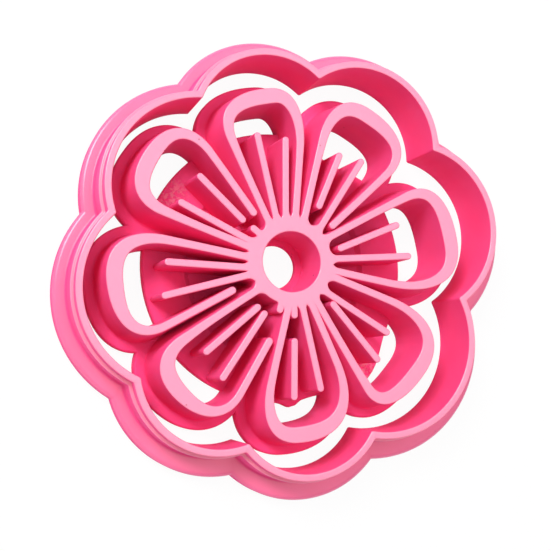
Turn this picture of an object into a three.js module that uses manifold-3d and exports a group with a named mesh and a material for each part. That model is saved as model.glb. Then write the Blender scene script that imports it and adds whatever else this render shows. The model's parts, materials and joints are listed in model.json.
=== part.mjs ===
// Flower cookie cutter with a loose stamp insert, lying on its press side with the cutting edge up.
// Lengths are millimetres, bearings are degrees anticlockwise from +X, and +Z is up.
// Radii and bearings are taken from the axis of the stamp's hub.

import * as THREE from "three";
import { mergeVertices } from "three/addons/utils/BufferGeometryUtils.js";
import Module from "manifold-3d";

// Cutter ring: blade, ledge, wall and press flange, each width added outside the one before
const RING_HEIGHT = 13; // table to cutting edge
const BLADE_THICKNESS = 1.2; // wall above the ledge
const BLADE_DEPTH = 3; // cutting edge down to the ledge
const LEDGE_WIDTH = 0.7; // step from the blade out to the wall
const WALL_FILLET = 0.7; // between the wall and the flange
const FLANGE_WIDTH = 3.3; // foot of the wall to the flange's outer edge
const FLANGE_SHIFT = [1, -0.3]; // the flange is a little wider towards +X and -Y
const FLANGE_THICKNESS = 4;
const FLANGE_EDGE = 0.8; // rounding of the flange's outer edge
const LOBE_SEGMENTS = 48; // facets round a full lobe circle

// The eight lobes are circles whose inner faces meet in sharp cusps. The far side of a lobe's inner
// face lies at the flower's radius plus the lobe's own offset.
const FLOWER_RADIUS = 42;
const LOBES = [
  { bearing: 99, radius: 15, offset: -0.3 },
  { bearing: 58, radius: 15.8, offset: 3.1 },
  { bearing: 16, radius: 17, offset: 3.8 },
  { bearing: -36.5, radius: 18.6, offset: 2 },
  { bearing: -82.5, radius: 15, offset: -0.3 },
  { bearing: -124.5, radius: 15.7, offset: -1.4 },
  { bearing: -165.5, radius: 18.7, offset: -0.7 },
  { bearing: 142.5, radius: 17.6, offset: -1.7 },
];

// Stamp insert: base, hub, petal walls and ribs
const STAMP_HEIGHT = RING_HEIGHT; // printing faces level with the cutting edge
const BASE_THICKNESS = 2.5; // backing disc and petal feet
const DISC_SETBACK = 14; // flower's radius in to the disc's edge, which leaves the petals' windows open
const DISC_RADIUS = FLOWER_RADIUS - DISC_SETBACK;
const RECESS_RADIUS = 19; // shallow step in the disc round the hub
const RECESS_DEPTH = 0.8;
const BORE_RADIUS = 6;
const HUB_WALL = 2.55;
const LIP_WIDTH = 1.45; // ring that narrows the bore at the table
const LIP_THICKNESS = 1.5;
const PETAL_WALL_LEG = 1.4; // printing face of a petal's leg
const PETAL_WALL_TIP = 3.1; // printing face at a petal's tip
const PETAL_THICKENING = 6; // 0 is a wall of even width, and a large number thickens the tip alone
const PETAL_FULLNESS = 0.6; // 0 is a pointed petal end, 1 a square one
const PETAL_FLARE = 1; // how far the outer face leans out at its foot
const PETAL_FILLET = 0.6; // between the outer face and its foot
const FOOT_WIDTH = 1.6; // fillet to the outer edge of the foot
const FOOT_EDGE = 0.6; // rounding of the foot's outer edge
const RIB_WIDTH = 1.2;
const RIB_SLOPE = 1.4; // how far a rib's outer end runs out at its foot
const PRINT_EDGE = 0.3; // rounding of every printing and cutting edge
const SEAM = 0.1; // hairline between the hub and the petals, which are one moulding
const LEG_STEPS = 4; // outline steps along one petal leg
const END_STEPS = 10; // outline steps round half of a petal's end
const RIB_END_STEPS = 5; // outline steps round one rib end
const ROUND_SEGMENTS = 48; // facets round the hub and the disc

// One petal in each lobe, in the same order. It runs out along its right leg, round its tip and back
// along its left leg. The tip keeps a clearance from the ring's inner face. A leg has bearings at the
// hub and at its shoulder, where the round end starts, which is set back from the tip's radius.
// A vein rib has bearings at both ends, and its outer end is set back from the disc's edge.
// A leg or rib with a gap stops free at that distance from the hub, and a short stub on the hub
// stands in line with some of them.
const PETALS = [
  {
    tip: { bearing: 97, clearance: 6.7 },
    right: { root: 79, shoulder: 83.5, setback: 12 },
    left: { root: 129, shoulder: 119.5, setback: 8 },
    ribs: [
      { root: 112.5, tip: 106, setback: 2.2 },
      { root: 100, tip: 93, setback: 3.6 },
    ],
    stubs: [],
  },
  {
    tip: { bearing: 62.5, clearance: 8.4 },
    right: { root: 37.5, shoulder: 40.5, setback: 8.4, gap: 2.3 },
    left: { root: 78, shoulder: 77, setback: 10.5 },
    ribs: [
      { root: 63, tip: 65, setback: 3.8, gap: 3.6 },
      { root: 47, tip: 54.5, setback: 2.2 },
    ],
    stubs: [],
  },
  {
    tip: { bearing: 8, clearance: 7.9 },
    right: { root: -15.5, shoulder: -12, setback: 15.8 },
    left: { root: 40.5, shoulder: 31.5, setback: 8 },
    ribs: [
      { root: 16.5, tip: 20, setback: 3.8, gap: 1.6 },
      { root: 6, tip: 4.5, setback: 2.6 },
    ],
    stubs: [],
  },
  {
    tip: { bearing: -37, clearance: 7.8 },
    right: { root: -61, shoulder: -59, setback: 6.5 },
    left: { root: -11, shoulder: -17, setback: 13.5 },
    ribs: [
      { root: -41, tip: -34, setback: 3.5 },
      { root: -43.5, tip: -46.5, setback: 1.6, gap: 2.8 },
    ],
    stubs: [],
  },
  {
    tip: { bearing: -88, clearance: 5.9 },
    right: { root: -98, shoulder: -102, setback: 11.3 },
    left: { root: -57, shoulder: -62.5, setback: 13.5 },
    ribs: [
      { root: -88, tip: -89, setback: 1.5, gap: 6.5 },
      { root: -75.5, tip: -76.5, setback: 2.4 },
    ],
    stubs: [{ bearing: -87, length: 2 }],
  },
  {
    tip: { bearing: -128.5, clearance: 5.1 },
    right: { root: -145, shoulder: -146.5, setback: 8.6 },
    left: { root: -104, shoulder: -110.5, setback: 7.4, gap: 7.3 },
    ribs: [
      { root: -127.5, tip: -134, setback: 3.3, gap: 2.3 },
      { root: -118.5, tip: -121.5, setback: 1.4, gap: 2.6 },
    ],
    stubs: [{ bearing: -104.5, length: 1.3 }],
  },
  {
    tip: { bearing: -172, clearance: 4.3 },
    right: { root: -188.5, shoulder: -189.5, setback: 11.2 },
    left: { root: -150.5, shoulder: -151, setback: 8.5, gap: 4.2 },
    ribs: [
      { root: -168, tip: -178, setback: 3.2 },
      { root: -161, tip: -164, setback: 1.7 },
    ],
    stubs: [],
  },
  {
    tip: { bearing: 142.5, clearance: 4.5 },
    right: { root: 126.5, shoulder: 127, setback: 9.2, gap: 3 },
    left: { root: 170, shoulder: 163, setback: 8.5 },
    ribs: [
      { root: 157, tip: 154.5, setback: 3.3 },
      { root: 142, tip: 139.5, setback: 3.5, gap: 3.6 },
    ],
    stubs: [{ bearing: 141.5, length: 1.5 }],
  },
];

const OVERSHOOT = 1; // cuts run this far past the faces they open
const WELD_DISTANCE = 1e-5; // corners closer than this are one corner
const PINK = 0xf25c94;
const PLASTIC_ROUGHNESS = 0.35;

const HUB_RADIUS = BORE_RADIUS + HUB_WALL;
const HUB_MIDDLE = BORE_RADIUS + HUB_WALL / 2; // where legs, ribs and stubs take root in the hub
const AXIS = new THREE.Vector2(0, 0);

const wasm = await Module();
wasm.setup();

function polar(bearing, radius) {
  const angle = THREE.MathUtils.degToRad(bearing);
  return new THREE.Vector2(radius * Math.cos(angle), radius * Math.sin(angle));
}

// A closed geometry as a solid that can be joined and cut
function solidOf(geometry) {
  const bare = geometry.clone();
  bare.deleteAttribute("normal");
  bare.deleteAttribute("uv");
  const merged = mergeVertices(bare, WELD_DISTANCE);
  const vertProperties = new Float32Array(merged.attributes.position.array);
  const triVerts = new Uint32Array(merged.index.array);
  return new wasm.Manifold(new wasm.Mesh({ numProp: 3, vertProperties, triVerts }));
}

function geometryOf(solid) {
  const mesh = solid.getMesh();
  const geometry = new THREE.BufferGeometry();
  geometry.setAttribute("position", new THREE.BufferAttribute(mesh.vertProperties, 3));
  geometry.setIndex(new THREE.BufferAttribute(mesh.triVerts, 1));
  geometry.computeVertexNormals();
  return geometry;
}

function union(solids) {
  return solids.reduce((joined, solid) => joined.add(solid));
}

// A solid through a stack of level outlines with equal point counts, wound anticlockwise
function loft(sections) {
  const count = sections[0].outline.length;
  const positions = sections.flatMap(({ z, outline }) => outline.flatMap((point) => [point.x, point.y, z]));
  const index = [];
  for (let level = 0; level + 1 < sections.length; level += 1) {
    for (let i = 0; i < count; i += 1) {
      const next = (i + 1) % count;
      const [low, lowNext] = [level * count + i, level * count + next];
      const [high, highNext] = [low + count, lowNext + count];
      index.push(low, lowNext, highNext, low, highNext, high);
    }
  }
  const top = (sections.length - 1) * count;
  for (const [a, b, c] of THREE.ShapeUtils.triangulateShape(sections[0].outline, [])) {
    index.push(a, c, b);
  }
  for (const [a, b, c] of THREE.ShapeUtils.triangulateShape(sections.at(-1).outline, [])) {
    index.push(top + a, top + b, top + c);
  }
  const geometry = new THREE.BufferGeometry();
  geometry.setAttribute("position", new THREE.Float32BufferAttribute(positions, 3));
  geometry.setIndex(index);
  return solidOf(geometry);
}

// A turned solid about a vertical axis; the profile's points are radius and height
function revolve(profile, segments, centre = AXIS) {
  const points = profile.map(([radius, z]) => new THREE.Vector2(radius, z));
  const geometry = new THREE.LatheGeometry(points, segments);
  geometry.rotateX(Math.PI / 2);
  return solidOf(geometry).translate(centre.x, centre.y, 0);
}

function lobeDistance({ radius, offset }) {
  return FLOWER_RADIUS + offset - radius;
}

function lobeCentre(lobe) {
  return polar(lobe.bearing, lobeDistance(lobe));
}

// Distance from the hub's axis to a lobe's inner face, along a bearing
function lobeReach(lobe, towards) {
  const swing = THREE.MathUtils.degToRad(towards - lobe.bearing);
  const distance = lobeDistance(lobe);
  return distance * Math.cos(swing) + Math.sqrt(lobe.radius ** 2 - (distance * Math.sin(swing)) ** 2);
}

function wallFoot({ radius }) {
  return radius + BLADE_THICKNESS + LEDGE_WIDTH + WALL_FILLET;
}

// The wall of one lobe, still filled: fillet, wall, ledge and blade in one profile
function lobeWall(lobe) {
  const ledge = RING_HEIGHT - BLADE_DEPTH;
  const blade = lobe.radius + BLADE_THICKNESS;
  const profile = [
    [0, 0],
    [wallFoot(lobe), 0],
    [wallFoot(lobe), FLANGE_THICKNESS],
    [blade + LEDGE_WIDTH, FLANGE_THICKNESS + WALL_FILLET],
    [blade + LEDGE_WIDTH, ledge],
    [blade, ledge],
    [blade, RING_HEIGHT - PRINT_EDGE],
    [blade - PRINT_EDGE, RING_HEIGHT],
    [0, RING_HEIGHT],
  ];
  return revolve(profile, LOBE_SEGMENTS, lobeCentre(lobe));
}

function lobeFlange(lobe) {
  const outer = wallFoot(lobe) + FLANGE_WIDTH;
  const profile = [
    [0, 0],
    [outer - FLANGE_EDGE / 2, 0],
    [outer, FLANGE_EDGE / 2],
    [outer, FLANGE_THICKNESS - FLANGE_EDGE],
    [outer - FLANGE_EDGE, FLANGE_THICKNESS],
    [0, FLANGE_THICKNESS],
  ];
  return revolve(profile, LOBE_SEGMENTS, lobeCentre(lobe).add(new THREE.Vector2(...FLANGE_SHIFT)));
}

function lobeSpace(lobe) {
  const profile = [
    [0, -OVERSHOOT],
    [lobe.radius, -OVERSHOOT],
    [lobe.radius, RING_HEIGHT + OVERSHOOT],
    [0, RING_HEIGHT + OVERSHOOT],
  ];
  return revolve(profile, LOBE_SEGMENTS, lobeCentre(lobe));
}

// The joined lobes, opened by their spaces and by the space between the lobes' centres
function cutterRing() {
  const centres = LOBES.map(lobeCentre).reverse();
  const middle = loft([
    { z: -OVERSHOOT, outline: centres },
    { z: RING_HEIGHT + OVERSHOOT, outline: centres },
  ]);
  const space = union([middle, ...LOBES.map(lobeSpace)]);
  return union([...LOBES.map(lobeFlange), ...LOBES.map(lobeWall)]).subtract(space);
}

// The curve from a leg's shoulder to the tip: it leaves along the leg and arrives square to the tip
function petalEnd(root, shoulder, tip, side) {
  const along = shoulder.clone().sub(root).normalize();
  const across = new THREE.Vector2(-tip.y, tip.x).normalize().multiplyScalar(side);
  const reach = tip.clone().sub(shoulder);
  const corner = reach.cross(across) / along.cross(across);
  const spread = -reach.cross(along) / across.cross(along);
  const leave = shoulder.clone().addScaledVector(along, PETAL_FULLNESS * corner);
  const arrive = tip.clone().addScaledVector(across, PETAL_FULLNESS * spread);
  return { leave, arrive };
}

function tipRadius(i) {
  const { bearing, clearance } = PETALS[i].tip;
  return lobeReach(LOBES[i], bearing) - clearance;
}

function legShoulder(i, { shoulder, setback }) {
  return polar(shoulder, tipRadius(i) - setback);
}

function legRoot({ root, gap }) {
  return polar(root, gap === undefined ? HUB_MIDDLE : HUB_RADIUS + gap);
}

// Fractions of a petal's path where its outline has a point
function pathSteps(path) {
  const lengths = path.getCurveLengths();
  const fractions = path.curves.flatMap((curve, i) => {
    const start = lengths[i] - curve.getLength();
    const steps = curve.isLineCurve ? LEG_STEPS : END_STEPS;
    const places = Array.from({ length: steps }, (_, step) => start + (curve.getLength() * step) / steps);
    return places.map((place) => place / lengths.at(-1));
  });
  return [...fractions, 1];
}

// Outline of a petal's printing face with the outward direction and wall width at each point
function petalOutline({ tip, right, left }, i) {
  const tipPoint = polar(tip.bearing, tipRadius(i));
  const [rightRoot, leftRoot] = [right, left].map(legRoot);
  const [rightShoulder, leftShoulder] = [right, left].map((leg) => legShoulder(i, leg));
  const rightEnd = petalEnd(rightRoot, rightShoulder, tipPoint, -1);
  const leftEnd = petalEnd(leftRoot, leftShoulder, tipPoint, 1);
  const path = new THREE.CurvePath();
  path.add(new THREE.LineCurve(rightRoot, rightShoulder));
  path.add(new THREE.CubicBezierCurve(rightShoulder, rightEnd.leave, rightEnd.arrive, tipPoint));
  path.add(new THREE.CubicBezierCurve(tipPoint, leftEnd.arrive, leftEnd.leave, leftShoulder));
  path.add(new THREE.LineCurve(leftShoulder, leftRoot));
  return pathSteps(path).map((along) => {
    const tangent = path.getTangentAt(along);
    const thickening = Math.sin(Math.PI * along) ** PETAL_THICKENING;
    return {
      point: path.getPointAt(along),
      outward: new THREE.Vector2(tangent.y, -tangent.x),
      wall: PETAL_WALL_LEG + (PETAL_WALL_TIP - PETAL_WALL_LEG) * thickening,
    };
  });
}

// The outline moved outwards by a distance
function outerLine(outline, offset) {
  return outline.map(({ point, outward }) => point.clone().addScaledVector(outward, offset));
}

// The wall's inner face moved outwards by a distance
function innerLine(outline, offset) {
  return outline.map(({ point, outward, wall }) => point.clone().addScaledVector(outward, offset - wall));
}

// Horseshoe wall of one petal: upright inside, leaning outside, with a fillet at its foot
function petalWall(outline) {
  const level = (z, outside, inside) => ({
    z,
    outline: [...outerLine(outline, outside), ...innerLine(outline, inside).reverse()],
  });
  return loft([
    level(0, PETAL_FLARE, 0),
    level(BASE_THICKNESS, PETAL_FLARE + PETAL_FILLET, 0),
    level(BASE_THICKNESS + PETAL_FILLET, PETAL_FLARE, 0),
    level(STAMP_HEIGHT - PRINT_EDGE, 0, 0),
    level(STAMP_HEIGHT, -PRINT_EDGE, PRINT_EDGE),
  ]);
}

// Foot under one petal, filled inside; its outline closes over the hub's axis
function petalFoot(outline) {
  const reach = PETAL_FLARE + PETAL_FILLET + FOOT_WIDTH;
  const level = (z, offset) => ({ z, outline: [...outerLine(outline, offset), AXIS] });
  return loft([
    level(0, reach),
    level(BASE_THICKNESS - FOOT_EDGE, reach),
    level(BASE_THICKNESS, reach - FOOT_EDGE),
  ]);
}

function petalWindow(outline) {
  return loft([
    { z: -OVERSHOOT, outline: innerLine(outline, 0) },
    { z: BASE_THICKNESS + OVERSHOOT, outline: innerLine(outline, 0) },
  ]);
}

// Outline of a bar with round ends
function barOutline(inner, outer, halfWidth) {
  const heading = outer.clone().sub(inner).angle();
  const end = (centre, from) => {
    return new THREE.EllipseCurve(centre.x, centre.y, halfWidth, halfWidth, from, from + Math.PI);
  };
  const ends = [end(outer, heading - Math.PI / 2), end(inner, heading + Math.PI / 2)];
  return ends.flatMap((arc) => arc.getPoints(RIB_END_STEPS));
}

function bar(inner, outer, slope) {
  const run = outer.clone().sub(inner).normalize();
  const halfWidth = RIB_WIDTH / 2;
  const foot = outer.clone().addScaledVector(run, slope);
  return loft([
    { z: 0, outline: barOutline(inner, foot, halfWidth) },
    { z: STAMP_HEIGHT - PRINT_EDGE, outline: barOutline(inner, outer, halfWidth) },
    { z: STAMP_HEIGHT, outline: barOutline(inner, outer, halfWidth - PRINT_EDGE) },
  ]);
}

function rib(vein) {
  return bar(legRoot(vein), polar(vein.tip, DISC_RADIUS - vein.setback), RIB_SLOPE);
}

function stub({ bearing, length }) {
  return bar(polar(bearing, HUB_MIDDLE), polar(bearing, HUB_RADIUS + length), 0);
}

function backingDisc() {
  const profile = [
    [0, 0],
    [DISC_RADIUS, 0],
    [DISC_RADIUS, BASE_THICKNESS],
    [0, BASE_THICKNESS],
  ];
  return revolve(profile, ROUND_SEGMENTS);
}

function recess() {
  const profile = [
    [0, BASE_THICKNESS - RECESS_DEPTH],
    [RECESS_RADIUS, BASE_THICKNESS - RECESS_DEPTH],
    [RECESS_RADIUS, BASE_THICKNESS + OVERSHOOT],
    [0, BASE_THICKNESS + OVERSHOOT],
  ];
  return revolve(profile, ROUND_SEGMENTS);
}

// Space of the hub and its hairline, from below the base to above the printing faces
function hubSpace() {
  const profile = [
    [0, -OVERSHOOT],
    [HUB_RADIUS + SEAM, -OVERSHOOT],
    [HUB_RADIUS + SEAM, STAMP_HEIGHT + OVERSHOOT],
    [0, STAMP_HEIGHT + OVERSHOOT],
  ];
  return revolve(profile, ROUND_SEGMENTS);
}

// Tube with a bore that narrows to a lip at the table
function stampHub() {
  const profile = [
    [BORE_RADIUS - LIP_WIDTH, 0],
    [HUB_RADIUS, 0],
    [HUB_RADIUS, STAMP_HEIGHT - PRINT_EDGE],
    [HUB_RADIUS - PRINT_EDGE, STAMP_HEIGHT],
    [BORE_RADIUS + PRINT_EDGE, STAMP_HEIGHT],
    [BORE_RADIUS, STAMP_HEIGHT - PRINT_EDGE],
    [BORE_RADIUS, LIP_THICKNESS],
    [BORE_RADIUS - LIP_WIDTH, LIP_THICKNESS],
    [BORE_RADIUS - LIP_WIDTH, 0],
  ];
  return revolve(profile, ROUND_SEGMENTS);
}

// Line down the middle of the valley between a petal's right leg and the next petal's left leg
function valleyLine(i) {
  const next = (i + 1) % PETALS.length;
  const middle = (a, b) => a.clone().add(b).divideScalar(2);
  const legs = [PETALS[i].right, PETALS[next].left];
  const [near, nextNear] = legs.map((leg) => polar(leg.root, HUB_RADIUS));
  const [far, nextFar] = [legShoulder(i, legs[0]), legShoulder(next, legs[1])];
  const start = middle(near, nextNear);
  return { start, along: middle(far, nextFar).sub(start).normalize() };
}

// Wedge that holds one petal, half a hairline clear of the valleys on both sides of it and reaching
// well past its tip
function petalWedge(i) {
  const edge = ({ start, along }, side) => {
    const inward = new THREE.Vector2(-along.y, along.x).multiplyScalar((side * SEAM) / 2);
    return [start.clone().add(inward), start.clone().addScaledVector(along, 2 * FLOWER_RADIUS).add(inward)];
  };
  const [rightNear, rightFar] = edge(valleyLine(i), 1);
  const [leftNear, leftFar] = edge(valleyLine((i + PETALS.length - 1) % PETALS.length), -1);
  const outline = [rightNear, rightFar, leftFar, leftNear];
  return loft([
    { z: -OVERSHOOT, outline },
    { z: STAMP_HEIGHT + OVERSHOOT, outline },
  ]);
}

// One petal with its foot, open inside, its share of the disc, its ribs and its stubs
function stampPetal(petal, i) {
  const outline = petalOutline(petal, i);
  const foot = petalFoot(outline).subtract(petalWindow(outline));
  const base = foot.add(backingDisc()).subtract(recess());
  const relief = [petalWall(outline), ...petal.ribs.map(rib), ...petal.stubs.map(stub)];
  return union([base, ...relief]).intersect(petalWedge(i)).subtract(hubSpace());
}

function pieceMesh(name, solid) {
  const plastic = { color: PINK, roughness: PLASTIC_ROUGHNESS, metalness: 0 };
  const material = new THREE.MeshStandardMaterial(plastic);
  const mesh = new THREE.Mesh(geometryOf(solid), material);
  mesh.name = name;
  return mesh;
}

const ring = pieceMesh("cutter_ring", cutterRing());
const hub = pieceMesh("stamp_hub", stampHub());
const petals = PETALS.map((petal, i) => pieceMesh(`stamp_petal_${i + 1}`, stampPetal(petal, i)));
const stamp = new THREE.Group();
stamp.add(hub, ...petals);

// The origin lies on the table under the middle of the ring.
const ringMiddle = new THREE.Box3().setFromObject(ring).getCenter(new THREE.Vector3());
const group = new THREE.Group();
group.add(ring, stamp);
group.position.set(-ringMiddle.x, -ringMiddle.y, 0);

export default group;
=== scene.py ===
"""Looks of the flower cookie cutter: a moulded ring and a loose stamp insert in pink plastic.

Shapes are worked out in millimetres about the axis of the stamp's hub, with bearings in degrees
anticlockwise from +X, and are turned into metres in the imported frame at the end.
"""

import json
import math

import bpy
import numpy as np
from mathutils import Matrix, Vector


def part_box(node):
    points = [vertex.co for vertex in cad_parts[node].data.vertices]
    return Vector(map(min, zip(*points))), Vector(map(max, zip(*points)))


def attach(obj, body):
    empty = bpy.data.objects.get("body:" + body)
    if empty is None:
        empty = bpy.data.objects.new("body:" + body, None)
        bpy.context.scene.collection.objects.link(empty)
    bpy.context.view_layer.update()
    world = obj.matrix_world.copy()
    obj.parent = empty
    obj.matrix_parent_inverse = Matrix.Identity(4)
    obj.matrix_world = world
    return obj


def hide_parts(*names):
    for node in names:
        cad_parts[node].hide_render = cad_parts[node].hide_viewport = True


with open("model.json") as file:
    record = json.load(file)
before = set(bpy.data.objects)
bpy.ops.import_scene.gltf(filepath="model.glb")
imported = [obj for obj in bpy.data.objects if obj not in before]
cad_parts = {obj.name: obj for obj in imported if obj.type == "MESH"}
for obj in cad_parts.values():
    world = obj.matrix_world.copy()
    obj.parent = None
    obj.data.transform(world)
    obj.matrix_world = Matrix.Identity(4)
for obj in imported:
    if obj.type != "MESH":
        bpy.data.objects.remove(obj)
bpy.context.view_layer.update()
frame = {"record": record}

MILLIMETRE = 0.001
QUARTER_TURN = math.pi / 2

# Cutter ring: offsets of its faces from the lobes' inner circles, its heights and its roundings
RING_HEIGHT = 13.0
BLADE_THICKNESS = 1.4
BLADE_DEPTH = 3.0
LEDGE_HEIGHT = RING_HEIGHT - BLADE_DEPTH
WALL_THICKNESS = 2.1
FLANGE_REACH = 5.9
FLANGE_THICKNESS = 4.0
FLANGE_SHIFT = np.array((1.0, -0.3))
FLANGE_EDGE = 0.9
WALL_FILLET = 0.7
FLOWER_RADIUS = 42.0
VALLEY_RADIUS = 0.5

# Bearing, radius and offset from the flower's radius of each lobe
LOBES = [
    (99, 15.0, -0.3),
    (58, 15.8, 3.1),
    (16, 17.0, 3.8),
    (-36.5, 18.6, 2.0),
    (-82.5, 15.0, -0.3),
    (-124.5, 15.7, -1.4),
    (-165.5, 18.7, -0.7),
    (142.5, 17.6, -1.7),
]

# Stamp's base: the backing disc with its shallow recess
STAMP_HEIGHT = 13.0
BASE_THICKNESS = 2.5
DISC_RADIUS = 28.0
RECESS_RADIUS = 19.0
RECESS_DEPTH = 0.8
RECESS_SLOPE = 0.5

# Places where the disc's edge stands farther in or out, as bearing, half width in degrees and change
DISC_CHANGES = [(62, 24, -2.4), (-50, 24, 3.0), (-83.5, 6, 1.2)]

# Stamp's hub, whose bore narrows to a lip
BORE_RADIUS = 6.0
HUB_RADIUS = 8.55
HUB_MIDDLE = (BORE_RADIUS + HUB_RADIUS) / 2
LIP_RADIUS = 4.55
LIP_THICKNESS = 1.5

# Stamp's petals and ribs
LEG_WIDTH = 1.5
TIP_WIDTH = 3.2
FULLNESS = 0.6  # share of the way to the corner that each handle of a petal's end reaches
THICKENING = 6  # power that keeps the thick part of a petal's wall near its tip
FLARE = 1.0
FILLET = 0.6
FOOT_REACH = 3.2
FOOT_EDGE = 0.6
RIB_WIDTH = 1.4
RIB_SLOPE = 0.3
ROOT_FILLET = 1.6
STUB_FILLET = 0.5
ROOT_OVERLAP = 0.6
RELIEF_FOOT = 0.5  # height at which ribs and roots start, inside the base

# Roundings that many edges share, and the length by which a cutting solid passes what it cuts
PRINT_EDGE = 0.26
SMALL_EDGE = 0.25
OVERSHOOT = 1.0

# Steps along the curves, and the angle in degrees from which an edge is shaded as sharp
LOBE_STEPS = 44
VALLEY_STEPS = 7
LEG_STEPS = 8
END_STEPS = 26
CAP_STEPS = 8
TURN_STEPS = 128
ROUND_STEPS = 4
SHARP_ANGLE = 38

# One petal in each lobe: its tip's bearing and clearance from the ring, then its right and its left leg
# as bearing at the hub, bearing and setback of the shoulder and free gap at the hub, then its ribs as
# bearing at the hub, bearing and setback at the disc's edge and free gap, and its stubs on the hub as
# bearing and length. A gap of None joins the leg or rib to the hub.
PETALS = [
    ((97, 6.7), (79, 83.5, 12, None), (129, 119.5, 8, None),
     [(112.5, 106, 2.2, None), (100, 93, 3.6, None)], []),
    ((62.5, 8.4), (37.5, 40.5, 8.4, 2.3), (78, 77, 10.5, None),
     [(63, 65, 3.8, 3.6), (47, 54.5, 2.2, None)], []),
    ((8, 7.9), (-15.5, -12, 15.8, None), (40.5, 31.5, 8, None),
     [(16.5, 20, 3.8, 1.6), (6, 4.5, 2.6, None)], []),
    ((-37, 7.8), (-61, -59, 6.5, None), (-11, -17, 13.5, None),
     [(-41, -34, 3.5, None), (-43.5, -46.5, 1.6, 2.8)], []),
    ((-88, 5.9), (-98, -102, 11.3, None), (-57, -62.5, 13.5, None),
     [(-88, -89, 1.5, 6.5), (-75.5, -76.5, 2.4, None)], [(-87, 2)]),
    ((-128.5, 5.1), (-145, -146.5, 8.6, None), (-104, -110.5, 7.4, 7.3),
     [(-127.5, -134, 3.3, 2.3), (-118.5, -121.5, 1.4, 2.6)], [(-104.5, 1.3)]),
    ((-172, 4.3), (-188.5, -189.5, 11.2, None), (-150.5, -151, 8.5, 4.2),
     [(-168, -178, 3.2, None), (-161, -164, 1.7, None)], []),
    ((142.5, 4.5), (126.5, 127, 9.2, 3), (170, 163, 8.5, None),
     [(157, 154.5, 3.3, None), (142, 139.5, 3.5, 3.6)], [(141.5, 1.5)]),
]

# Plastic: what is the same all over, then its colours in linear light
PLASTIC = {
    "Specular IOR Level": 0.12,
    "Coat Roughness": 0.32,
    "Coat IOR": 1.6,
    "Subsurface Weight": 0.3,
    "Subsurface Radius": (1.0, 0.6, 0.7),
    "Subsurface Scale": 0.0012,
}
DEEP_PINK = (0.93, 0.078, 0.275)
BRIGHT_PINK = (0.97, 0.094, 0.30)
# Paler pink painted on level top faces and their rounded edges as sheen, and also the colour of the frosted
# rough spots
PAINTED_SHEEN_AND_FROST_PINK = (0.97, 0.235, 0.385)
SPECK_COLOUR = (0.30, 0.05, 0.10)

# Noises as scale and detail, and bumps as strength and depth in metres
CLOUDS = (90, 3)
GLOSS_CHANGES = (260, 5)
WAVES = (150, 1)
GRAIN = (2600, 2)
FROST = (1500, 2)
WAVE_BUMP = (0.2, 0.0002)
GRAIN_BUMP = (0.1, 0.00004)
FROST_BUMP = (0.5, 0.0003)

# Ranges over which the plastic changes, and what it changes to
NONE_TO_FULL = (0.0, 1.0)
CLOUD_RANGE = (0.35, 0.65)
LEVEL_RANGE = (0.15, 0.7)  # upward share of a face's normal, from satin to polished with a painted sheen, which reaches the rounded edges
POLISH_AND_SHEEN_RISE = 1.0  # millimetres over which polish and painted sheen grow to the full
POLISH_AND_SHEEN_FADE = 0.12  # millimetres over which the flange's polish and painted sheen end at the wall's foot
FLANGE_POLISH = 1.0
# share of the paler pink painted as sheen on the flange's top
FLANGE_PAINTED_SHEEN = 0.35
SATIN_TO_POLISHED = (0.7, 0.36)  # roughness
GLOSS_SPREAD = (-0.07, 0.07)
SPECK_SCALE = 110
SPECK_RANGE = (0.018, 0.03)
SPECK_STRENGTH = 0.7

# Rough spots on the backing disc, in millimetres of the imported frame
ROUGH_SPOTS = [(-25.2, 14.6, 2.5), (16.2, -21.0, 2.5)]
SPOT_CORE = 1.5
SPOT_EDGE = 4.2
FROST_RANGE = (0.45, 0.6)
FROST_ROUGHNESS = 0.7

# Stage: the table and the room, lengths in metres
WHITE = (1, 1, 1, 1)
TABLE = {
    "Base Color": (0.9, 0.9, 0.9, 1),
    "Roughness": 0.9,
    "Specular IOR Level": 0.1,
}
TABLE_HALF = 2.0
TABLE_GLOW = 0.95
ROOM_LIGHT = 0.5

# Lamps as name, place and side in metres, and power in watts
LAMPS = [
    ("overhead", (0.15, 0.09, 0.56), 0.36, 0.9),
    ("left", (-0.28, 0.26, 0.45), 0.2, 2.7),
]

# Camera: places and lens in millimetres
CAMERA_PLACE = (-63.82, -19.95, 189.11)
CAMERA_AIM = (-2.28, -1.22, 0.0)
CAMERA_LENS = 62.07
CAMERA_SENSOR = 36.0
CAMERA_NEAREST = 5.0


def in_metres(*lengths):
    return tuple(length * MILLIMETRE for length in lengths)


def polar(bearing, radius):
    angle = math.radians(bearing)
    return radius * np.array((math.cos(angle), math.sin(angle)))


def heading(vector):
    return math.atan2(vector[1], vector[0])


def unit(vector):
    return vector / np.linalg.norm(vector)


def leftward(vector):
    """The vector after a quarter turn to the left."""
    return np.array((-vector[1], vector[0]))


def cross(a, b):
    return a[0] * b[1] - a[1] * b[0]


def arc(centre, radius, start, end, steps):
    """Points from one angle to another, both ends included."""
    angles = np.linspace(start, end, steps)
    return centre + radius * np.column_stack((np.cos(angles), np.sin(angles)))


def unit_circle():
    angles = np.linspace(0, math.tau, TURN_STEPS, endpoint=False)
    return np.column_stack((np.cos(angles), np.sin(angles)))


def quarter():
    """Cosine and sine pairs over a quarter turn."""
    angles = np.linspace(0, QUARTER_TURN, ROUND_STEPS + 1)
    return list(zip(np.cos(angles), np.sin(angles)))


def bezier(a, b, c, d, steps):
    t = np.linspace(0, 1, steps + 1)[:, None]
    return (1 - t) ** 3 * a + 3 * (1 - t) ** 2 * t * b + 3 * (1 - t) * t ** 2 * c + t ** 3 * d


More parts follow.
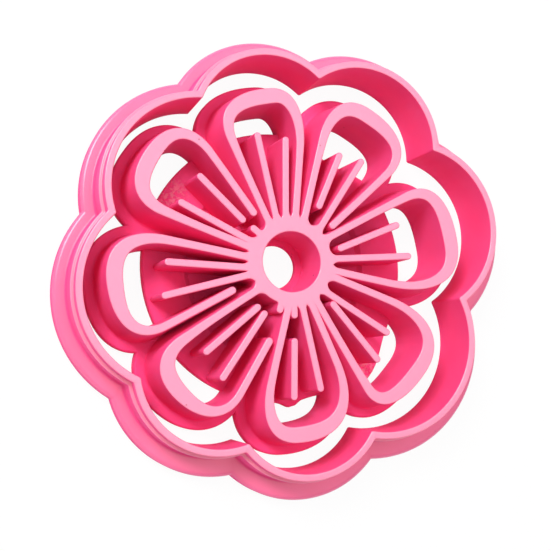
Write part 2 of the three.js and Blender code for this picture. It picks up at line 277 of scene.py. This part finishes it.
def rounded(corners):
    """A closed line through corners given as (across, height, radius, extra), each one rounded off.

    The extra value runs along with each corner's points.
    """
    line = []
    for i, (across, height, radius, extra) in enumerate(corners):
        corner = np.array((across, height))
        before = unit(np.array(corners[i - 1][:2]) - corner)
        after = unit(np.array(corners[(i + 1) % len(corners)][:2]) - corner)
        half = math.acos(np.clip(before @ after, -1, 1)) / 2
        centre = corner + unit(before + after) * radius / math.sin(half)
        start = corner + before * radius / math.tan(half) - centre
        end = corner + after * radius / math.tan(half) - centre
        turn = math.atan2(cross(start, end), start @ end)
        angle = heading(start)
        for point in arc(centre, radius, angle, angle + turn, ROUND_STEPS + 1):
            line.append((point[0], point[1], extra))
    return line


def mesh_object(name, points, faces):
    mesh = bpy.data.meshes.new(name)
    mesh.from_pydata([tuple(point) for point in points], [], faces)
    mesh.update()
    piece = bpy.data.objects.new(name, mesh)
    bpy.context.scene.collection.objects.link(piece)
    return piece


def skin(name, sections, closed):
    """A solid through level outlines: closed joins the last to the first, else both ends are capped."""
    count = len(sections[0][1])
    points = [(x, y, z) for z, outline in sections for x, y in outline]
    pairs = len(sections) if closed else len(sections) - 1
    faces = []
    for level in range(pairs):
        low = level * count
        high = (level + 1) % len(sections) * count
        for i in range(count):
            after = (i + 1) % count
            faces.append((low + i, low + after, high + after, high + i))
    if not closed:
        top = (len(sections) - 1) * count
        faces.append(tuple(reversed(range(count))))
        faces.append(tuple(range(top, top + count)))
    return mesh_object(name, points, faces)


def turned(name, corners):
    """A ring turned about the hub's axis from a closed profile of radius, height and rounding."""
    profile = rounded([(radius, height, rounding, 0.0) for radius, height, rounding in corners])
    return skin(name, [(height, radius * unit_circle()) for radius, height, _ in profile], closed=True)


def drum(name, levels):
    """A solid turned about the hub's axis through levels of radius and height."""
    return skin(name, [(height, radius * unit_circle()) for radius, height in levels], closed=False)


def fused(name, first, steps):
    """One closed mesh from a first solid and a list of joins and cuts."""
    for operation, other in steps:
        modifier = first.modifiers.new(operation, "BOOLEAN")
        modifier.operation = operation
        modifier.solver = "MANIFOLD"
        modifier.object = other
    graph = bpy.context.evaluated_depsgraph_get()
    mesh = bpy.data.meshes.new_from_object(first.evaluated_get(graph))
    mesh.name = name
    for piece in [first] + [other for _, other in steps]:
        bpy.data.objects.remove(piece)
    piece = bpy.data.objects.new(name, mesh)
    bpy.context.scene.collection.objects.link(piece)
    return piece


def lobe_distance(radius, offset):
    """Distance from the hub's axis to a lobe's centre."""
    return FLOWER_RADIUS + offset - radius


def lobe_circle(lobe):
    bearing, radius, offset = lobe
    return polar(bearing, lobe_distance(radius, offset)), radius


def lobe_reach(lobe, towards):
    """Distance from the hub's axis to a lobe's inner face along a bearing."""
    bearing, radius, offset = lobe
    swing = math.radians(towards - bearing)
    distance = lobe_distance(radius, offset)
    return distance * math.cos(swing) + math.sqrt(radius ** 2 - (distance * math.sin(swing)) ** 2)


def outer_meeting(first, second, offset):
    """The point away from the hub where two lobe circles meet, both grown by an offset."""
    (a, radius_a), (b, radius_b) = first, second
    span = np.linalg.norm(b - a)
    along = (b - a) / span
    reach = ((radius_a + offset) ** 2 - (radius_b + offset) ** 2 + span ** 2) / (2 * span)
    rise = math.sqrt((radius_a + offset) ** 2 - reach ** 2)
    return a + along * reach - leftward(along) * rise


def flower(offset):
    """The ring's outline at an offset from the inner faces, with small round valleys between lobes."""
    circles = [lobe_circle(lobe) for lobe in reversed(LOBES)]
    count = len(circles)
    neighbours = zip(circles, circles[1:] + circles[:1])
    valleys = [outer_meeting(first, second, offset + VALLEY_RADIUS) for first, second in neighbours]
    outline = []
    for i, (centre, radius) in enumerate(circles):
        start = heading(valleys[i - 1] - centre)
        end = start + (heading(valleys[i] - centre) - start) % math.tau
        outline.extend(arc(centre, radius + offset, start, end, LOBE_STEPS))
        next_centre = circles[(i + 1) % count][0]
        leave = heading(centre - valleys[i])
        turn = (heading(next_centre - valleys[i]) - leave) % math.tau - math.tau
        outline.extend(arc(valleys[i], VALLEY_RADIUS, leave, leave + turn, VALLEY_STEPS)[1:-1])
    return np.array(outline)


def cutter_ring():
    """The ring from its profile, whose flange alone is shifted to one side."""
    profile = rounded([
        (0.0, 0.0, SMALL_EDGE, 0.0),
        (FLANGE_REACH, 0.0, SMALL_EDGE, 1.0),
        (FLANGE_REACH, FLANGE_THICKNESS, FLANGE_EDGE, 1.0),
        (WALL_THICKNESS, FLANGE_THICKNESS, WALL_FILLET, 0.0),
        (WALL_THICKNESS, LEDGE_HEIGHT, SMALL_EDGE, 0.0),
        (BLADE_THICKNESS, LEDGE_HEIGHT, SMALL_EDGE, 0.0),
        (BLADE_THICKNESS, RING_HEIGHT, PRINT_EDGE, 0.0),
        (0.0, RING_HEIGHT, PRINT_EDGE, 0.0),
    ])
    sections = [(height, flower(offset) + shifted * FLANGE_SHIFT) for offset, height, shifted in profile]
    return skin("flower_ring", sections, closed=True)


def root_point(bearing, gap, half_width):
    """Inner end of a leg or rib: in the hub's wall, or free with room for its round end."""
    return polar(bearing, HUB_MIDDLE if gap is None else HUB_RADIUS + gap + half_width)


class Leg:
    """Straight part of a petal's outer line, from its root to its shoulder.

    The wall lies to the left of a right leg (side 1) and to the right of a left leg (side -1).
    """

    def __init__(self, row, side, tip_radius):
        root_bearing, shoulder_bearing, setback, gap = row
        self.side = side
        self.joined = gap is None
        self.root = root_point(root_bearing, gap, LEG_WIDTH / 2)
        self.shoulder = polar(shoulder_bearing, tip_radius - setback)
        self.run = unit(self.shoulder - self.root)

    def end_curve(self, tip):
        """The petal's end from the shoulder to the tip: it leaves along the leg, and is square to the tip."""
        across = -self.side * unit(leftward(tip))
        reach = tip - self.shoulder
        leave = self.shoulder + self.run * FULLNESS * cross(reach, across) / cross(self.run, across)
        arrive = tip - across * FULLNESS * cross(reach, self.run) / cross(across, self.run)
        return bezier(self.shoulder, leave, arrive, tip, END_STEPS)


class Petal:
    """Outer line of one petal's printing face, with outward directions and wall widths."""

    def __init__(self, lobe, tip, right_row, left_row):
        tip_bearing, clearance = tip
        tip_radius = lobe_reach(lobe, tip_bearing) - clearance
        tip_point = polar(tip_bearing, tip_radius)
        right = Leg(right_row, 1, tip_radius)
        left = Leg(left_row, -1, tip_radius)
        self.legs = [right, left]
        self.line = np.vstack((
            np.linspace(right.root, right.shoulder, LEG_STEPS + 1),
            right.end_curve(tip_point)[1:],
            left.end_curve(tip_point)[-2::-1],
            np.linspace(left.shoulder, left.root, LEG_STEPS + 1)[1:],
        ))
        tangents = np.gradient(self.line, axis=0)
        tangents /= np.linalg.norm(tangents, axis=1)[:, None]
        self.outward = np.column_stack((tangents[:, 1], -tangents[:, 0]))
        steps = np.linalg.norm(np.diff(self.line, axis=0), axis=1)
        along = np.concatenate(([0], np.cumsum(steps))) / steps.sum()
        self.width = (LEG_WIDTH + (TIP_WIDTH - LEG_WIDTH) * np.sin(math.pi * along) ** THICKENING)[:, None]

    def outer(self, offset):
        return self.line + self.outward * offset

    def inner(self, inset=0.0):
        return self.line - self.outward * (self.width - inset)

    def wall_outline(self, outside, inset):
        """The horseshoe at one level, with round free ends."""
        outer = self.outer(outside)
        inner = self.inner(inset)
        left_cap = self.cap(outer[-1], inner[-1])
        right_cap = self.cap(inner[0], outer[0])
        return np.vstack((outer, left_cap, inner[::-1], right_cap))

    @staticmethod
    def cap(start, end):
        """Half circle between two points, without the points themselves."""
        middle = (start + end) / 2
        angle = heading(start - middle)
        return arc(middle, np.linalg.norm(start - middle), angle, angle + math.pi, CAP_STEPS + 1)[1:-1]


def printing_edge():
    """Heights and insets of the rounded edge round a printing face."""
    top = STAMP_HEIGHT - PRINT_EDGE
    return [(top + PRINT_EDGE * rise, PRINT_EDGE * (1 - side)) for side, rise in quarter()]


def petal_wall(petal):
    """The wall with its flared foot, from levels of height, offset outside and inset inside."""
    levels = [(0.0, FLARE, 0.0), (BASE_THICKNESS, FLARE + FILLET, 0.0)]
    levels += [
        (BASE_THICKNESS + FILLET * (1 - side), FLARE + FILLET * (1 - rise), 0.0)
        for side, rise in quarter()[1:]
    ]
    levels += [(height, -inset, inset) for height, inset in printing_edge()]
    sections = [(height, petal.wall_outline(outside, inset)) for height, outside, inset in levels]
    return skin("wall", sections, closed=False)


def petal_foot(petal):
    """The low plate under a petal, in to the hub's axis."""
    axis = np.zeros((1, 2))
    level = BASE_THICKNESS - FOOT_EDGE
    levels = [(0.0, FOOT_REACH)]
    levels += [(level + FOOT_EDGE * rise, FOOT_REACH - FOOT_EDGE * (1 - side)) for side, rise in quarter()]
    sections = [(height, np.vstack((petal.outer(offset), axis))) for height, offset in levels]
    return skin("foot", sections, closed=False)


def petal_window(petal):
    """What is cut out of the base inside a petal, before the disc goes in."""
    outline = petal.inner()
    return skin("window", [(-OVERSHOOT, outline), (BASE_THICKNESS + OVERSHOOT, outline)], closed=False)


def root_fillet(start, run, half_width, side, inset, fillet):
    """Rounded corner between the hub and one side of a leg or rib, from the hub's wall outwards."""
    across = side * leftward(run)
    base = start + across * (half_width + fillet)
    along = base @ run
    distance = math.sqrt(along ** 2 - base @ base + (HUB_RADIUS + fillet) ** 2) - along
    centre = base + run * distance
    from_hub = heading(-centre)
    turn = (heading(-across) - from_hub + math.pi) % math.tau - math.pi
    corner = arc(centre, fillet + inset, from_hub, from_hub + turn, 2 * ROUND_STEPS + 1)
    return np.vstack((unit(corner[0]) * HUB_MIDDLE, corner))


def rib(start, end, slope, fillet):
    """A rib whose outer end slopes a little, with a fillet at the hub or else a free round end."""
    run = unit(end - start)
    angle = heading(run)
    half = RIB_WIDTH / 2

    def outline(far, inset):
        tip = arc(far, half - inset, angle - QUARTER_TURN, angle + QUARTER_TURN, CAP_STEPS + 1)
        if fillet:
            right = root_fillet(start, run, half, -1, inset, fillet)
            left = root_fillet(start, run, half, 1, inset, fillet)
            return np.vstack((right, tip, left[::-1]))
        back = arc(start, half - inset, angle + QUARTER_TURN, angle + 3 * QUARTER_TURN, CAP_STEPS + 1)
        return np.vstack((tip, back))

    sections = [(RELIEF_FOOT, outline(end + run * slope, 0.0))]
    sections += [(height, outline(end, inset)) for height, inset in printing_edge()]
    return skin("rib", sections, closed=False)


def leg_root(leg):
    """Fillets where a petal's leg grows out of the hub."""
    half = LEG_WIDTH / 2
    start = leg.root + leg.side * leftward(leg.run) * half
    beyond = leg.run * ROOT_OVERLAP

    def outline(inset):
        right = root_fillet(start, leg.run, half, -1, inset, ROOT_FILLET)
        left = root_fillet(start, leg.run, half, 1, inset, ROOT_FILLET)
        return np.vstack((right, right[-1] + beyond, left[-1] + beyond, left[::-1]))

    levels = [(RELIEF_FOOT, 0.0)] + printing_edge()
    return skin("root", [(height, outline(inset)) for height, inset in levels], closed=False)


def backing_disc():
    """The disc behind the ribs, whose edge stands farther in or out within some of the petals."""
    bearings = np.linspace(0, 360, TURN_STEPS, endpoint=False)
    reach = np.full(TURN_STEPS, DISC_RADIUS)
    for middle, half_width, change in DISC_CHANGES:
        away = (bearings - middle + 180) % 360 - 180
        share = np.clip(away / half_width, -1, 1)
        reach += change * np.cos(share * QUARTER_TURN) ** 2
    levels = [(0.0, SMALL_EDGE), (SMALL_EDGE, 0.0)]
    levels += [(BASE_THICKNESS - SMALL_EDGE, 0.0), (BASE_THICKNESS, SMALL_EDGE)]
    sections = [(height, unit_circle() * (reach - inset)[:, None]) for height, inset in levels]
    return skin("disc", sections, closed=False)


def recess():
    """What is cut out of the disc's top round the hub, with a sloping edge."""
    rim = RECESS_RADIUS + RECESS_SLOPE
    return drum("recess", [
        (RECESS_RADIUS - RECESS_SLOPE, BASE_THICKNESS - RECESS_DEPTH),
        (rim, BASE_THICKNESS),
        (rim, BASE_THICKNESS + OVERSHOOT),
    ])


def hub():
    return turned("hub", [
        (LIP_RADIUS, 0.0, SMALL_EDGE),
        (HUB_RADIUS, 0.0, SMALL_EDGE),
        (HUB_RADIUS, STAMP_HEIGHT, PRINT_EDGE),
        (BORE_RADIUS, STAMP_HEIGHT, PRINT_EDGE),
        (BORE_RADIUS, LIP_THICKNESS, SMALL_EDGE),
        (LIP_RADIUS, LIP_THICKNESS, SMALL_EDGE),
    ])


def relief(petals):
    """Everything that prints besides the hub: the petals' walls and roots, the ribs and the stubs."""
    pieces = [petal_wall(petal) for petal in petals]
    for petal in petals:
        pieces += [leg_root(leg) for leg in petal.legs if leg.joined]
    for *_, ribs, stubs in PETALS:
        for bearing, tip, setback, gap in ribs:
            start = root_point(bearing, gap, RIB_WIDTH / 2)
            fillet = ROOT_FILLET if gap is None else 0.0
            pieces.append(rib(start, polar(tip, DISC_RADIUS - setback), RIB_SLOPE, fillet))
        for bearing, length in stubs:
            end = polar(bearing, HUB_RADIUS + length)
            pieces.append(rib(polar(bearing, HUB_MIDDLE), end, 0.0, STUB_FILLET))
    return pieces


def stamp_insert():
    """The stamp in one piece: feet less windows, then the disc with its recess, the hub and the relief."""
    petals = [Petal(lobe, *row[:3]) for lobe, row in zip(LOBES, PETALS)]
    feet = [petal_foot(petal) for petal in petals]
    windows = [petal_window(petal) for petal in petals]
    core = drum("core", [(HUB_MIDDLE, -OVERSHOOT), (HUB_MIDDLE, BASE_THICKNESS + OVERSHOOT)])
    steps = [("UNION", foot) for foot in feet[1:]]
    steps += [("DIFFERENCE", window) for window in windows]
    steps += [("UNION", backing_disc()), ("DIFFERENCE", recess()), ("DIFFERENCE", core), ("UNION", hub())]
    steps += [("UNION", piece) for piece in relief(petals)]
    return fused("flower_stamp", feet[0], steps)


def finished(piece, body, nodes, material):
    """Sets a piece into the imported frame, smooths it and says what it stands for."""
    low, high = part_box("stamp_hub")
    axis = (low + high) / 2
    piece.data.transform(Matrix.Translation((axis.x, axis.y, 0)) @ Matrix.Scale(MILLIMETRE, 4))
    piece.data.shade_smooth()
    piece.data.set_sharp_from_angle(angle=math.radians(SHARP_ANGLE))
    weighting = piece.modifiers.new("even_normals", "WEIGHTED_NORMAL")
    weighting.keep_sharp = True
    piece.data.materials.clear()
    piece.data.materials.append(material)
    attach(piece, body)
    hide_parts(*nodes)


class Nodes:
    """Makes and links the nodes of one material or world. Methods that shape a value return its output."""

    def __init__(self, tree):
        self.tree = tree

    def add(self, kind, **settings):
        """A new node itself, with its settings."""
        made = self.tree.nodes.new(kind)
        for name, value in settings.items():
            setattr(made, name, value)
        return made

    def link(self, output, socket):
        self.tree.links.new(output, socket)

    def combined(self, operation, first, second):
        made = self.add("ShaderNodeMath", operation=operation)
        self.link(first, made.inputs[0])
        self.link(second, made.inputs[1])
        return made.outputs["Value"]

    def ranged(self, value, source, target):
        """The value carried from one range to another and held at its ends."""
        made = self.add("ShaderNodeMapRange")
        for socket, limit in zip(("From Min", "From Max", "To Min", "To Max"), (*source, *target)):
            made.inputs[socket].default_value = limit
        self.link(value, made.inputs["Value"])
        return made.outputs["Result"]

    def upward(self, vector):
        made = self.add("ShaderNodeSeparateXYZ")
        self.link(vector, made.inputs["Vector"])
        return made.outputs["Z"]

    def noise(self, place, scale, detail):
        made = self.add("ShaderNodeTexNoise")
        made.inputs["Scale"].default_value = scale
        made.inputs["Detail"].default_value = detail
        self.link(place, made.inputs["Vector"])
        return made.outputs["Fac"]

    def spot(self, place, centre):
        """1 near a centre in metres, and 0 beyond the spot's edge."""
        away = self.add("ShaderNodeVectorMath", operation="DISTANCE")
        self.link(place, away.inputs[0])
        away.inputs[1].default_value = centre
        return self.ranged(away.outputs["Value"], in_metres(SPOT_CORE, SPOT_EDGE), (1.0, 0.0))

    def bump(self, height, strength, depth, under=None):
        made = self.add("ShaderNodeBump")
        made.inputs["Strength"].default_value = strength
        made.inputs["Distance"].default_value = depth
        self.link(height, made.inputs["Height"])
        if under is not None:
            self.link(under, made.inputs["Normal"])
        return made.outputs["Normal"]

    def tinted(self, share, colour, tint):
        made = self.add("ShaderNodeMix", data_type="RGBA")
        self.link(share, made.inputs["Factor"])
        self.link(colour, made.inputs["A"])
        made.inputs["B"].default_value = (*tint, 1)
        return made.outputs["Result"]

    def mixed(self, share, first, second):
        """Two shaders mixed by the second one's share."""
        made = self.add("ShaderNodeMixShader")
        self.link(share, made.inputs["Fac"])
        self.link(first, made.inputs[1])
        self.link(second, made.inputs[2])
        return made.outputs["Shader"]


def new_material(name, sockets):
    """A material, its nodes and its shader, which has the given values on its sockets."""
    material = bpy.data.materials.new(name)
    material.use_nodes = True
    shader = material.node_tree.nodes["Principled BSDF"]
    for socket, value in sockets.items():
        shader.inputs[socket].default_value = value
    return material, Nodes(material.node_tree), shader


def pink_plastic(name, polish_and_sheen_height, flange_polish=0.0, flange_painted_sheen=0.0):
    """Moulded plastic with uneven colour and gloss, fine grain, rare specks and two rough spots.

    Level faces from a height upwards are polished and have a sheen painted on as paler pink, those as low as
    the flange's top are so by the shares given, and the rest is satin.
    """
    material, nodes, shader = new_material(name, PLASTIC)
    coordinates = nodes.add("ShaderNodeTexCoord")
    place = coordinates.outputs["Object"]
    height = nodes.upward(place)
    level = nodes.ranged(nodes.upward(coordinates.outputs["Normal"]), LEVEL_RANGE, NONE_TO_FULL)
    high = nodes.ranged(height, in_metres(polish_and_sheen_height - POLISH_AND_SHEEN_RISE, polish_and_sheen_height), NONE_TO_FULL)

    # Share of level faces from the given heights up: their coat of polish, and the paler pink painted on them
    # as sheen.
    def polish_and_painted_sheen(flange_share):
        wall_foot = FLANGE_THICKNESS + POLISH_AND_SHEEN_FADE
        flange = nodes.ranged(height, in_metres(FLANGE_THICKNESS, wall_foot), (flange_share, 0.0))
        return nodes.combined("MULTIPLY", level, nodes.combined("MAXIMUM", high, flange))

    polish = polish_and_painted_sheen(flange_polish)
    nodes.link(polish, shader.inputs["Coat Weight"])

    rough_spots = nodes.combined("MAXIMUM", *[nodes.spot(place, in_metres(*spot)) for spot in ROUGH_SPOTS])
    crystals = nodes.ranged(nodes.noise(place, *FROST), FROST_RANGE, NONE_TO_FULL)
    frost = nodes.combined("MULTIPLY", crystals, rough_spots)

    cloud = nodes.add("ShaderNodeValToRGB")
    for stop, position, pink in zip(cloud.color_ramp.elements, CLOUD_RANGE, (DEEP_PINK, BRIGHT_PINK)):
        stop.position = position
        stop.color = (*pink, 1)
    nodes.link(nodes.noise(place, *CLOUDS), cloud.inputs["Fac"])
    # Painted sheen: level top faces get the paler pink, and the frosted rough spots get it as their own
    # colour.
    painted_sheen_and_frost = nodes.combined("MAXIMUM", polish_and_painted_sheen(flange_painted_sheen), frost)
    pinks = nodes.tinted(painted_sheen_and_frost, cloud.outputs["Color"], PAINTED_SHEEN_AND_FROST_PINK)
    cells = nodes.add("ShaderNodeTexVoronoi")
    cells.inputs["Scale"].default_value = SPECK_SCALE
    nodes.link(place, cells.inputs["Vector"])
    specks = nodes.ranged(cells.outputs["Distance"], SPECK_RANGE, (SPECK_STRENGTH, 0.0))
    nodes.link(nodes.tinted(specks, pinks, SPECK_COLOUR), shader.inputs["Base Color"])

    gloss_changes = nodes.ranged(nodes.noise(place, *GLOSS_CHANGES), NONE_TO_FULL, GLOSS_SPREAD)
    satin = nodes.combined("ADD", gloss_changes, nodes.ranged(polish, NONE_TO_FULL, SATIN_TO_POLISHED))
    frosted = nodes.ranged(rough_spots, NONE_TO_FULL, (0.0, FROST_ROUGHNESS))
    nodes.link(nodes.combined("MAXIMUM", satin, frosted), shader.inputs["Roughness"])

    waves = nodes.bump(nodes.noise(place, *WAVES), *WAVE_BUMP)
    grain = nodes.bump(nodes.noise(place, *GRAIN), *GRAIN_BUMP, waves)
    nodes.link(nodes.bump(frost, *FROST_BUMP, grain), shader.inputs["Normal"])
    return material


def background_rays(nodes):
    """1 for the rays that show the background: those of the camera, mirrored ones and ones through glass."""
    paths = nodes.add("ShaderNodeLightPath").outputs
    mirrored = nodes.combined("MAXIMUM", paths["Is Glossy Ray"], paths["Is Transmission Ray"])
    return nodes.combined("MAXIMUM", paths["Is Camera Ray"], mirrored)


def white_floor():
    """A white table that shows white to the camera and keeps a soft shadow under the part."""
    near, far = -TABLE_HALF, TABLE_HALF
    corners = [(near, near, 0.0), (far, near, 0.0), (far, far, 0.0), (near, far, 0.0)]
    floor = mesh_object("table", corners, [(0, 1, 2, 3)])
    material, nodes, shader = new_material("table_white", TABLE)
    glow = nodes.add("ShaderNodeEmission")
    share = nodes.ranged(background_rays(nodes), NONE_TO_FULL, (0.0, TABLE_GLOW))
    surface = nodes.mixed(share, shader.outputs["BSDF"], glow.outputs["Emission"])
    nodes.link(surface, nodes.tree.nodes["Material Output"].inputs["Surface"])
    floor.data.materials.append(material)


def white_world():
    """An even pale room, which shows as white."""
    world = bpy.data.worlds.new("studio")
    world.use_nodes = True
    nodes = Nodes(world.node_tree)
    room = nodes.tree.nodes["Background"]
    room.inputs["Color"].default_value = WHITE
    room.inputs["Strength"].default_value = ROOM_LIGHT
    white = nodes.add("ShaderNodeBackground")
    white.inputs["Color"].default_value = WHITE
    surface = nodes.mixed(background_rays(nodes), room.outputs["Background"], white.outputs["Background"])
    nodes.link(surface, nodes.tree.nodes["World Output"].inputs["Surface"])
    bpy.context.scene.world = world


def area_light(name, place, side, power):
    """A soft square lamp that faces the middle of the part."""
    data = bpy.data.lights.new(name, "AREA")
    data.shape = "SQUARE"
    data.size = side
    data.energy = power
    lamp = bpy.data.objects.new(name, data)
    lamp.location = place
    lamp.rotation_euler = (-Vector(place)).to_track_quat("-Z", "Y").to_euler()
    bpy.context.scene.collection.objects.link(lamp)


def photo_camera():
    """The photograph's view: close, from the left of the part and nearly above it, with +Y up."""
    place = Vector(in_metres(*CAMERA_PLACE))
    back = (place - Vector(in_metres(*CAMERA_AIM))).normalized()
    right = Vector((0, 1, 0)).cross(back).normalized()
    up = back.cross(right)
    data = bpy.data.cameras.new("photo_view")
    data.sensor_width = CAMERA_SENSOR
    data.lens = CAMERA_LENS
    data.clip_start = CAMERA_NEAREST * MILLIMETRE
    camera = bpy.data.objects.new("photo_view", data)
    camera.matrix_world = Matrix.Translation(place) @ Matrix((right, up, back)).transposed().to_4x4()
    bpy.context.scene.collection.objects.link(camera)
    bpy.context.scene.camera = camera


photo_camera()
ring_plastic = pink_plastic("ring_plastic", LEDGE_HEIGHT, FLANGE_POLISH, FLANGE_PAINTED_SHEEN)
stamp_plastic = pink_plastic("stamp_plastic", STAMP_HEIGHT - PRINT_EDGE)
stamp_nodes = frame["record"]["behaviour"]["bodies"]["stamp"]
finished(cutter_ring(), "cutter", ["cutter_ring"], ring_plastic)
finished(stamp_insert(), "stamp", stamp_nodes, stamp_plastic)
white_floor()
white_world()
for lamp_row in LAMPS:
    area_light(*lamp_row)
bpy.context.scene.view_settings.view_transform = "Standard"
